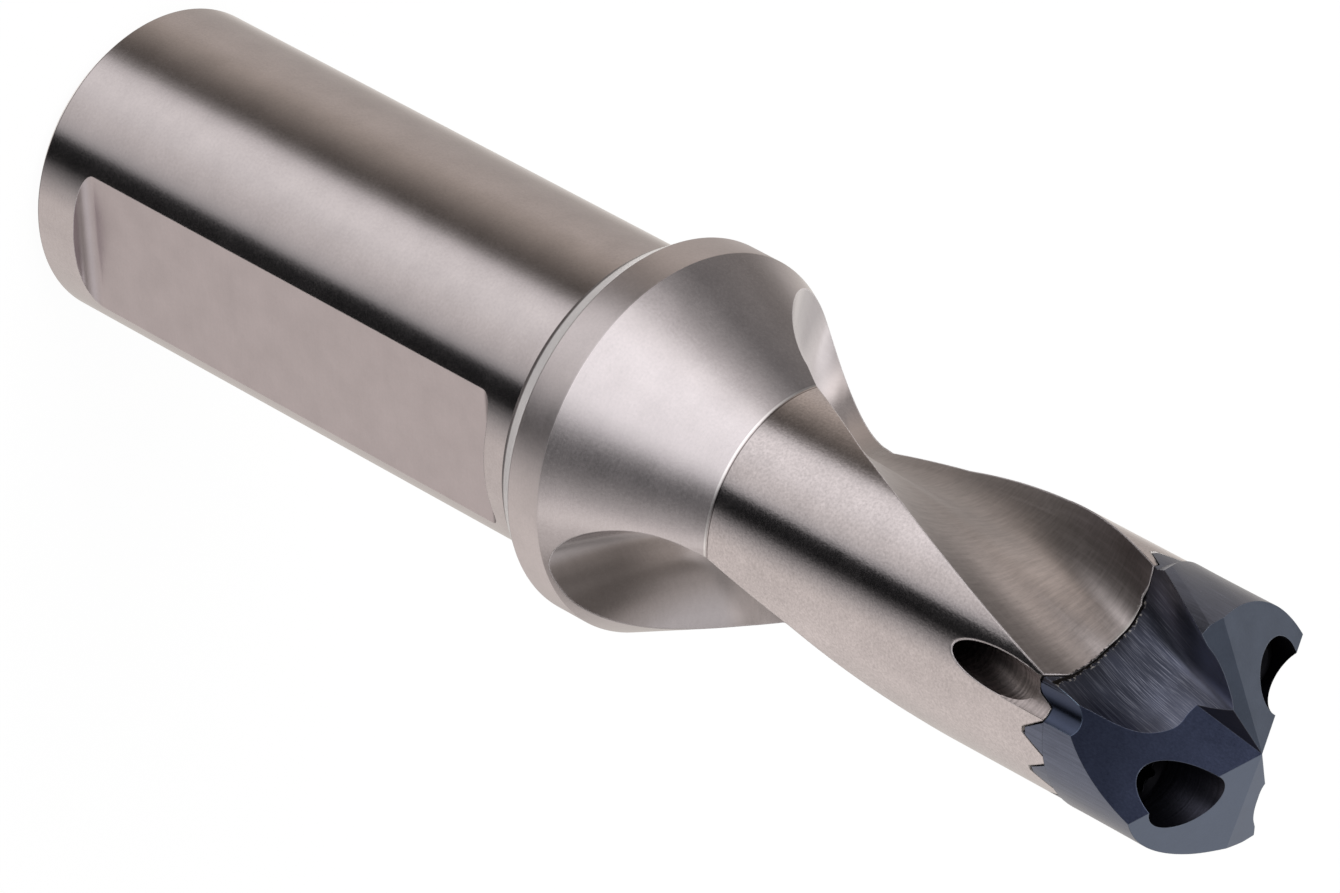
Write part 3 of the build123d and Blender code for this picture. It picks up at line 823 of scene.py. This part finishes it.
def coated_face(name, tint, light, roughness, fall=0.0, lines=0.14, rim_share=0.35):
    """Hard dark coating on a ground face, with brushed lines and a painted highlight on its edges.

    The fall paints shade on it near the joint and light near the point.
    """
    tree = Tree(bpy.data.materials.new(name))
    vector, parts = tree.place()
    (x, y, z), joint = parts, joint_height()
    rounded, edge = soft_edges(tree, 0.02 + rim_share * 0.15)
    cloud = tree.noise(vector, 0.55, 3.0, 0.55)
    dust = tree.noise(vector, 5.0, 3.0, 0.7)
    brushed = tree.noise(tree.combine(x + y, x - y, z * 0.05), 4.6, 3.0, 0.75)
    shade = 1.0 + (cloud - 0.5) * 0.30 + (dust - 0.5) * 0.22 + (brushed - 0.5) * lines
    # Painted shade near the joint and painted light near the point
    if fall:
        shade = shade * (1.0 - fall + z.between(joint + 2.0, joint + 12.0) * fall * 2)
    gap = z.between(joint + 0.9, joint + 0.4)
    # Painted highlight on the edges, dark in the gap of the joint
    highlight_and_gap_rim = tree.mix(gap, light, (0.015, 0.015, 0.02))
    base = tree.mix(edge * (rim_share + gap * 0.6), shaded(tree, tint, shade), highlight_and_gap_rim)
    rough = roughness + (cloud - 0.5) * 0.08 + (dust - 0.5) * 0.10
    normal = tree.bump(dust, 3.0, rounded)
    tree.finish(base, rough, normal)


def bored_metal(name, tint, roughness, along, rings_per_mm):
    """Metal of a drilled hole, with turning rings across its direction."""
    tree = Tree(bpy.data.materials.new(name))
    vector = tree.place()[0]
    depth = tree.dot(vector, tuple(along))
    rings = tree.noise(tree.combine(depth, 0.0, 0.0), rings_per_mm, 2.0, 0.6)
    dust = tree.noise(vector, 6.0, 2.0, 0.6)
    shade = 0.12 + rings * 1.5 + (dust - 0.5) * 0.5
    normal = tree.bump(rings, 26.0)
    tree.finish(shaded(tree, tint, shade), roughness + (dust - 0.5) * 0.1, normal)


def make_finishes():
    """Make every material of the drill once."""
    if "ground_shank" in bpy.data.materials:
        return
    finish = bpy.context.scene.drill_finish
    steel, flat, flute = tuple(finish.steel), tuple(finish.flat), tuple(finish.flute)
    brighter = tuple(min(1.0, value * 1.12) for value in steel)
    pale = (0.42, 0.46, 0.52)

    ground_steel("ground_shank", steel, 0.15, grain=0.26, grain_depth=1.8)
    ground_steel("ground_collar", brighter, 0.33, grain=0.26, grain_depth=2.0)
    # Painted highlight: the bevel is near white and nearly matt, and its dark ring is painted shade
    # at its foot
    ground_steel(
        "bevel_painted_highlight", (0.97, 0.93, 0.925), 0.25, grain=0.14, grain_depth=1.0, wear_and_highlight=0.2,
        metal=0.1, ring=(BEVEL_START + 0.15, 0.62, (0.16, 0.14, 0.14)))
    # Its ring is a painted highlight along the cone's upper edge
    ground_steel(
        "turned_cone", steel, 0.19, grain=0.27, grain_depth=1.5, lines=14.0, line_depth=1.6,
        ring=(CONE_END - 0.10, 0.09, (0.84, 0.80, 0.80)))
    # Its ring is painted shade along the land's foot next to the cone
    ground_steel(
        "grained_land", brighter, 0.14, grain=0.74, grain_depth=4.6, lines=7.0, wear_and_highlight=0.8,
        ring=(CONE_END + 0.12, 0.06, (0.22, 0.19, 0.19)))
    ground_steel(
        "milled_flat", flat, 0.33, grain=0.16, grain_depth=1.6, lines=7.0, line_depth=0.6)
    ground_steel("tooth_steel", (0.66, 0.62, 0.60), 0.32, grain=0.4, grain_depth=3.0, lines=5.0)
    # The shine and the wall paint highlight and shade into the flute
    streaked_metal(
        "ground_flute", flute, brighter, 0.36, per_share=26.0, depth=1.5, contrast=0.18,
        painted_shine=(86.0, 100.0, (0.95, 0.66), (1.0, 1.60)), wear_and_highlight=0.24, wall=(0.26, 0.10, -0.34),
        across=0.66, polish=0.15)
    bored_metal("bored_steel", (0.52, 0.46, 0.46), 0.36, coolant_direction(), 2.4)

    coated_face("coated_land", (0.146, 0.164, 0.226), (0.52, 0.50, 0.50), 0.25, lines=1.0)
    coated_face("coated_flank", tuple(finish.coating), pale, 0.32)
    coated_face("coated_heel", tuple(finish.dark_coating), pale, 0.30, fall=0.36, lines=0.8)
    coated_face("coated_thinning", (0.050, 0.047, 0.060), pale, 0.34, lines=0.6)
    coated_face(
        "coated_groove", (0.066, 0.080, 0.128), (0.36, 0.52, 0.70), 0.22, rim_share=0.8)
    coated_face("coated_tooth", (0.06, 0.065, 0.08), pale, 0.4)
    # The shine and the wall paint highlight and shade into the flute
    streaked_metal(
        "coated_flute", (0.078, 0.084, 0.118), (0.26, 0.27, 0.33), 0.34, per_share=80.0,
        depth=3.0, contrast=0.70, painted_shine=(109.0, 114.0, (1.0, 2.1), (0.55, 1.50)), wear_and_highlight=0.07,
        wall=(0.12, 0.0, 1.1))
    bored_metal("coated_bore", (0.055, 0.055, 0.075), 0.42, Vector((0.16, -0.09, 0.98)), 4.0)

    coated_face("oiled_screw", tuple(finish.screw), (0.10, 0.10, 0.11), 0.45)
    bored_metal("screw_thread", (0.30, 0.29, 0.28), 0.35, Vector((0, 0, 1)), 4.0)


class DRILL_OT_body(bpy.types.Operator):
    """Model the steel body with shank, collar, flutes, coupling and coolant channels"""
    bl_idname = "drill.body"
    bl_label = "Drill Body"
    bl_options = {"REGISTER", "UNDO"}

    def execute(self, context):
        scene = context.scene
        body, flute, joint = scene.drill_body, scene.drill_flutes, joint_height()
        make_finishes()
        shank, chamfer = body.shank_radius / MM, body.shank_chamfer / MM
        radius, collar = body.body_radius / MM, body.collar_radius / MM
        profile = [
            (0, 0), (shank - chamfer, 0), (shank, chamfer), (shank, BEVEL_START),
            (BEVEL_RADIUS, BEVEL_START), (collar, COLLAR_START), (collar, COLLAR_END),
            (radius, CONE_END), (radius, joint), (0, joint),
        ]
        bm = turned(profile, body.turning_steps, body.edge_round / MM)
        limits = (BEVEL_START - 0.1, COLLAR_START, COLLAR_END, CONE_END, joint - 0.01)
        for face in bm.faces:
            height = face.calc_center_median().z
            face.material_index = sum(height > limit for limit in limits)
        piece = as_object(bm, "steel_body", (
            "ground_shank", "bevel_painted_highlight", "ground_collar", "turned_cone", "grained_land",
            "tooth_steel",
        ))
        self.cut_flat(piece, body)
        runout, rise = flute.runout_start / MM, flute.runout_rise
        cut(piece, both_flutes(
            flute, runout - RUNOUT_REACH, joint + 1.0, step=0.5,
            lift_at=lambda z: rise * max(runout - z, 0.0) ** 2,
        ), "ground_flute")
        cut(piece, coupling_cutter(
            scene.drill_head, radius, clearance=0.0, rise=0.0), "tooth_steel")
        cut(piece, turned(INLET_PROFILE, 128), "bored_steel")
        cut_outlets(piece, radius, *CHANNEL_IN_BODY, "bored_steel")
        cut(piece, screw_holes(scene.drill_screws, *TAPPED_HOLE), "bored_steel")
        finish_piece(piece, "drill_body", sharp_degrees=20)
        return {"FINISHED"}

    def cut_flat(self, piece, body):
        """Mill the clamping flat with its two round inner corners."""
        bm = bmesh.new()
        low, start, end = body.flat_height / MM, body.flat_start / MM, body.flat_end / MM
        bmesh.ops.create_cube(bm, size=1.0)
        bmesh.ops.scale(bm, vec=(40, 10, end - start), verts=bm.verts)
        bmesh.ops.translate(bm, vec=(0, -low - 5, (start + end) / 2), verts=bm.verts)
        inner = [
            edge for edge in bm.edges
            if all(abs(vert.co.y + low) < 1e-3 for vert in edge.verts)
            and abs(edge.verts[0].co.x - edge.verts[1].co.x) > 1
        ]
        bmesh.ops.bevel(
            bm, geom=inner, offset=body.flat_corner / MM, segments=10, profile=0.5,
            affect="EDGES", material=-1,
        )
        cut(piece, bm, "milled_flat")


class DRILL_OT_head(bpy.types.Operator):
    """Model the coated cutting head with its point, flutes, teeth and screw holes"""
    bl_idname = "drill.head"
    bl_label = "Cutting Head"
    bl_options = {"REGISTER", "UNDO"}

    def execute(self, context):
        scene = context.scene
        body, flute, head = scene.drill_body, scene.drill_flutes, scene.drill_head
        make_finishes()
        margin, joint, top = head.margin_radius / MM, joint_height(), head.point_height / MM
        low = joint + TOOTH_GAP
        profile = [
            (0, joint), (SEAT_RADIUS, joint), (SEAT_RADIUS, low), (margin, low), (margin, top),
            (0, top),
        ]
        bm = turned(profile, body.turning_steps)
        for face in bm.faces:
            face.material_index = int(face.calc_center_median().z < low + 0.01)
        piece = as_object(bm, "coated_head", ("coated_land", "coated_tooth"))
        for plane in (SECONDARY_PLANE, PRIMARY_PLANE):
            self.cut_plane(piece, top, plane, "coated_flank")
        self.cut_relief(piece, flute, joint)
        self.cut_shoulder(piece, head, margin, body.turning_steps)
        self.cut_plane(piece, top, HEEL_PLANE, "coated_heel", THINNING_PLANE, "coated_thinning")
        cut(piece, both_flutes(
            flute, joint - HEAD_FLUTE_BELOW, joint + HEAD_FLUTE_ABOVE, step=0.35,
            section_at=lambda z: mixed_section(eased((z - joint) / SECTION_REACH)),
        ), "coated_flute")
        self.add_teeth(piece, head, body, flute)
        cut_outlets(piece, body.body_radius / MM, *CHANNEL_IN_HEAD, "coated_groove")
        for hole in STEPPED_HOLES:
            cut(piece, screw_holes(scene.drill_screws, *hole), "coated_bore")
        finish_piece(piece, "drill_head", sharp_degrees=7)
        return {"FINISHED"}

    def cut_plane(self, piece, top, plane, finish, second=None, second_finish=None):
        """Grind a plane through the point, and a second one that bounds it, on both sides."""
        for half_turn in SIDES:
            bm = bmesh.new()
            bmesh.ops.create_cube(bm, size=60.0)
            bmesh.ops.translate(bm, vec=(0, 0, 30.0), verts=bm.verts)
            place = placed((0, 0, top), direction(plane[0], plane[1] + half_turn))
            bmesh.ops.transform(bm, matrix=place, verts=bm.verts)
            if not second:
                cut(piece, bm, finish)
                continue
            across = direction(second[0], second[1] + half_turn)
            self.halve(bm, (0, 0, top), across)
            bm.normal_update()
            for face in bm.faces:
                face.material_index = int(abs(face.normal.dot(across)) > 0.999)
            cut(piece, bm, finish, second_finish)

    def halve(self, bm, point, normal):
        """Keep the part of a solid in front of a plane and close it."""
        done = bmesh.ops.bisect_plane(
            bm, geom=bm.verts[:] + bm.edges[:] + bm.faces[:], plane_co=point, plane_no=normal,
            clear_inner=True,
        )
        edges = [item for item in done["geom_cut"] if isinstance(item, bmesh.types.BMEdge)]
        bmesh.ops.edgeloop_fill(bm, edges=edges)

    def cut_relief(self, piece, flute, joint):
        """Relieve both lands behind their margins."""
        bm = bmesh.new()
        knots = [Vector((radius, behind, 0)) for radius, behind in LAND_RELIEF]
        curve = smooth_curve(knots, [16] * len(knots))
        for half_turn in SIDES:
            rings = []
            for index in range(RELIEF_STEPS):
                z = joint - RELIEF_BELOW + RELIEF_RISE * index
                leading = heel_angle(flute, z) - flute_width(flute, z) + 180 + half_turn
                ring = [(point.x, leading - point.y) for point in curve]
                ring += [(RELIEF_OUTSIDE, leading - point.y) for point in reversed(curve)]
                rings.append([Vector((*polar(*place), z)) for place in ring])
            sweep(bm, rings)
        cut(piece, bm, "coated_land")

    def cut_shoulder(self, piece, head, margin, steps):
        """Turn each land's base down below a tilted shoulder."""
        base = head.base_radius / MM
        profile = [
            (base, -6), (base, 0), (margin + 0.1, 1.1), (margin + 1, 1.1), (margin + 1, -6),
            (base, -6),
        ]
        lean, towards = SHOULDER_PLANE
        for half_turn in SIDES:
            bm = turned(profile, steps)
            place = placed((0, 0, SHOULDER_HEIGHT), direction(lean, towards + half_turn))
            bmesh.ops.transform(bm, matrix=place, verts=bm.verts)
            side = (*polar(1.0, SHOULDER_SIDE + half_turn), 0.0)
            self.halve(bm, (0, 0, 0), side)
            cut(piece, bm, "coated_land")

    def add_teeth(self, piece, head, body, flute):
        """Join the teeth of the coupling under the head."""
        joint, base = joint_height(), head.base_radius / MM
        teeth = as_object(
            coupling_cutter(head, body.body_radius / MM, clearance=FLANK_GAP, rise=TOOTH_GAP),
            "coupling_teeth", ["coated_tooth"],
        )
        low = joint - head.tooth_depth / MM + TIP_GAP
        ring = turned(
            [(0, low), (base, low), (base, joint + 0.2), (0, joint + 0.2)], body.turning_steps)
        combine(teeth, as_object(ring, "tooth_limit", ["coated_land"]), "INTERSECT")
        cut(teeth, both_flutes(flute, joint - 3.0, joint + 1.0, step=0.4), "coated_flute")
        combine(piece, teeth, "UNION")


class DRILL_OT_screws(bpy.types.Operator):
    """Model the two clamp screws with six-lobed sockets and threads"""
    bl_idname = "drill.screws"
    bl_label = "Clamp Screws"
    bl_options = {"REGISTER", "UNDO"}

    def execute(self, context):
        screw = context.scene.drill_screws
        make_finishes()
        seat, lean = screw_frame(screw)
        for half_turn, node in zip(SIDES, ("clamp_screw_left", "clamp_screw_right")):
            piece = self.make_screw(screw, node)
            place = placed(half_turned(seat, half_turn), half_turned(lean, half_turn))
            piece.data.transform(place)
            finish_piece(piece, node, sharp_degrees=24)
        return {"FINISHED"}

    def make_screw(self, screw, node):
        """One screw along Z, its head resting on the origin plane."""
        radius, height = screw.head_radius / MM, screw.head_height / MM
        crest, reach = screw.thread_radius / MM, screw.screw_length / MM
        pitch = screw.thread_pitch / MM
        root = crest - 0.6 * pitch
        profile = [
            (0, -reach), (root - 0.2, -reach), (root, -reach + 0.25), (root, -0.35),
            (root + 0.15, 0), (radius, 0), (radius, height - 0.25), (radius - 0.25, height),
            (1.95, height), (1.3, height - 0.38), (0, height - 0.38),
        ]
        bm = turned(profile, SCREW_STEPS)
        for face in bm.faces:
            face.material_index = int(face.calc_center_median().z <= -0.05)
        piece = as_object(bm, node + "_steel", ("oiled_screw", "screw_thread"))
        bm = bmesh.new()
        swings = [360 * index / SCREW_STEPS for index in range(SCREW_STEPS)]
        outline = [
            polar(SOCKET_RADIUS + LOBE_REACH * cos(radians(SOCKET_LOBES * swing)), swing)
            for swing in swings
        ]
        sweep(bm, [
            [Vector((*point, z)) for point in outline]
            for z in (height - SOCKET_DEPTH, height + 0.2)
        ])
        cut(piece, bm, "oiled_screw")
        self.add_thread(piece, root, crest, reach, pitch)
        return piece

    def add_thread(self, piece, root, crest, reach, pitch):
        """Add the thread's ridge round the screw's root."""
        bm = bmesh.new()
        start, turns = -reach + 0.3, int((reach - 1.0) / pitch)
        ridge = ((root - 0.05, 0.0), (crest, 0.42), (crest, 0.52), (root - 0.05, 0.92))
        face = bm.faces.new(
            [bm.verts.new((radius, 0, start + pitch * share)) for radius, share in ridge])
        bmesh.ops.spin(
            bm, geom=[face, *face.edges, *face.verts], axis=(0, 0, 1), cent=(0, 0, 0),
            dvec=(0, 0, pitch / THREAD_STEPS), steps=THREAD_STEPS * turns, angle=2 * pi * turns,
            use_merge=False,
        )
        for face in bm.faces:
            face.material_index = 1
        bmesh.ops.recalc_face_normals(bm, faces=bm.faces)
        thread = bpy.data.meshes.new("thread")
        bm.to_mesh(thread)
        bm.clear()
        for mesh in (piece.data, thread):
            bm.from_mesh(mesh)
        bm.to_mesh(piece.data)
        bm.free()
        bpy.data.meshes.remove(thread)


class DRILL_OT_studio(bpy.types.Operator):
    """Set the camera, the pale floor and the banded studio light"""
    bl_idname = "drill.studio"
    bl_label = "Studio"
    bl_options = {"REGISTER", "UNDO"}

    def execute(self, context):
        studio = context.scene.drill_studio
        self.set_camera(context.scene, studio)
        self.lay_floor(studio)
        self.light_world(context.scene, studio)
        self.hang_lamp(studio)
        context.scene.view_settings.view_transform = "Standard"
        return {"FINISHED"}

    def set_camera(self, scene, studio):
        """Camera at the photograph's viewing angle."""
        camera = bpy.data.objects.new("camera", bpy.data.cameras.new("camera"))
        camera.data.lens = studio.lens
        camera.data.sensor_width = 36.0
        camera.data.clip_start = 0.05
        camera.data.clip_end = 20.0
        camera.location = studio.camera_place
        camera.rotation_euler = Euler(studio.camera_turn, "XYZ")
        scene.collection.objects.link(camera)
        scene.camera = camera

    def lay_floor(self, studio):
        """Pale floor under the shank's end, white to the camera but for a soft shadow."""
        bm = bmesh.new()
        bmesh.ops.create_grid(bm, x_segments=8, y_segments=8, size=studio.floor_size / MM / 2)
        bmesh.ops.scale(bm, vec=(MM, MM, MM), verts=bm.verts)
        mesh = bpy.data.meshes.new("floor")
        bm.to_mesh(mesh)
        bm.free()
        floor = bpy.data.objects.new("floor", mesh)
        bpy.context.scene.collection.objects.link(floor)
        floor.visible_glossy = False
        material = bpy.data.materials.new("pale_floor")
        mesh.materials.append(material)
        tree = Tree(material)
        shade = 0.80 + (tree.noise(tree.place()[0], 0.02, 2.0) - 0.5) * 0.01
        matt = tree.node(
            "ShaderNodeBsdfDiffuse",
            inputs={"Color": tree.combine(shade, shade, shade), "Roughness": 0.5})
        white = tree.node("ShaderNodeEmission", inputs={"Color": (1, 1, 1, 1), "Strength": 1.055})
        seen = tree.node("ShaderNodeLightPath", output="Is Camera Ray")
        mixed = tree.node("ShaderNodeMixShader", inputs=(seen * 0.90, matt, white))
        tree.node("ShaderNodeOutputMaterial", inputs={"Surface": mixed})

    def light_world(self, scene, studio):
        """Soft white studio with darker bands beside the light and a dark patch at the lens.

        The bands of one height give way to the next between two heights in degrees.
        """
        world = bpy.data.worlds.new("studio")
        scene.world = world
        tree = Tree(world)
        out = tree.node("ShaderNodeTexCoord", output="Generated")
        turned_way = tree.node(
            "ShaderNodeVectorRotate", {"rotation_type": "Z_AXIS"},
            {"Vector": out, "Angle": -studio.camera_azimuth},
        )
        split = tree.nodes.new("ShaderNodeSeparateXYZ")
        tree.links.new(turned_way.socket, split.inputs[0])
        x, y, z = (Value(tree, socket) for socket in split.outputs)
        around = y.math("ARCTAN2", x) / (2 * pi) + 0.5
        height = z.math("ARCSINE") * (180 / pi)
        under, low, middle, upper, top = (
            tree.node("ShaderNodeValToRGB", {"stops": [
                (way / 360 + 0.5, (grey * (1 + warm), grey, grey * (1 - warm)))
                for way, grey, warm in bands
            ]}, (around,))
            for bands in (FLOOR_BANDS, LOW_BANDS, MIDDLE_BANDS, UPPER_BANDS, TOP_BANDS)
        )
        wall = tree.mix(height.between(-30.0, -6.0), low, middle)
        wall = tree.mix(height.between(-43.0, -60.0), wall, under)
        wall = tree.mix(height.between(-3.0, 8.0), wall, upper)
        lens = radians(LENS_HEIGHT)
        facing = tree.dot(turned_way, (cos(lens), 0.0, sin(lens)))
        dark = facing.between(cos(radians(30)), cos(radians(15)))
        ceiling = tree.mix(dark, top, (0.20, 0.20, 0.22))
        light = tree.mix(height.between(8.0, 17.0), wall, ceiling)
        seen = tree.node("ShaderNodeLightPath", output="Is Camera Ray")
        light = tree.mix(seen, light, (1.0, 1.0, 1.0))
        background = tree.node("ShaderNodeBackground", inputs={"Color": light, "Strength": 1.0})
        tree.node("ShaderNodeOutputWorld", inputs={"Surface": background})

    def hang_lamp(self, studio):
        """One broad soft lamp above the camera side."""
        lamp = bpy.data.lights.new("softbox", "AREA")
        lamp.shape = "RECTANGLE"
        lamp.size, lamp.size_y = 0.7, 0.5
        lamp.energy = 3.0
        hung = bpy.data.objects.new("softbox", lamp)
        place = Vector((*polar(0.9, in_degrees(studio.camera_azimuth) - 60), 0.9))
        hung.location = place
        hung.rotation_euler = (place - Vector((0, 0, 0.06))).to_track_quat("Z", "Y").to_euler()
        bpy.context.scene.collection.objects.link(hung)


class DRILL_PT_panel(bpy.types.Panel):
    """Sizes, finishes and studio of the drill"""
    bl_idname = "DRILL_PT_panel"
    bl_label = "Exchangeable-head Drill"
    bl_space_type = "VIEW_3D"
    bl_region_type = "UI"
    bl_category = "Drill"

    def draw(self, context):
        for group, operator in (
            ("drill_flutes", None), ("drill_body", "drill.body"), ("drill_head", "drill.head"),
            ("drill_screws", "drill.screws"), ("drill_finish", None),
            ("drill_studio", "drill.studio"),
        ):
            settings = getattr(context.scene, group)
            box = self.layout.box()
            for name in settings.__annotations__:
                box.prop(settings, name)
            if operator:
                box.operator(operator)


GROUPS = {
    "drill_flutes": DrillFluteSettings,
    "drill_body": DrillBodySettings,
    "drill_head": DrillHeadSettings,
    "drill_screws": DrillScrewSettings,
    "drill_finish": DrillFinishSettings,
    "drill_studio": DrillStudioSettings,
}
CLASSES = (
    *GROUPS.values(), DRILL_OT_body, DRILL_OT_head, DRILL_OT_screws, DRILL_OT_studio,
    DRILL_PT_panel,
)


def register():
    """Register the settings, operators and panel."""
    for made in CLASSES:
        bpy.utils.register_class(made)
    for name, group in GROUPS.items():
        setattr(bpy.types.Scene, name, PointerProperty(type=group))


def unregister():
    """Take the settings, operators and panel away again."""
    for name in GROUPS:
        delattr(bpy.types.Scene, name)
    for made in reversed(CLASSES):
        bpy.utils.unregister_class(made)


def main():
    """Build the drill and its studio."""
    register()
    bpy.ops.drill.body()
    bpy.ops.drill.head()
    bpy.ops.drill.screws()
    bpy.ops.drill.studio()


if __name__ == "__main__":
    main()
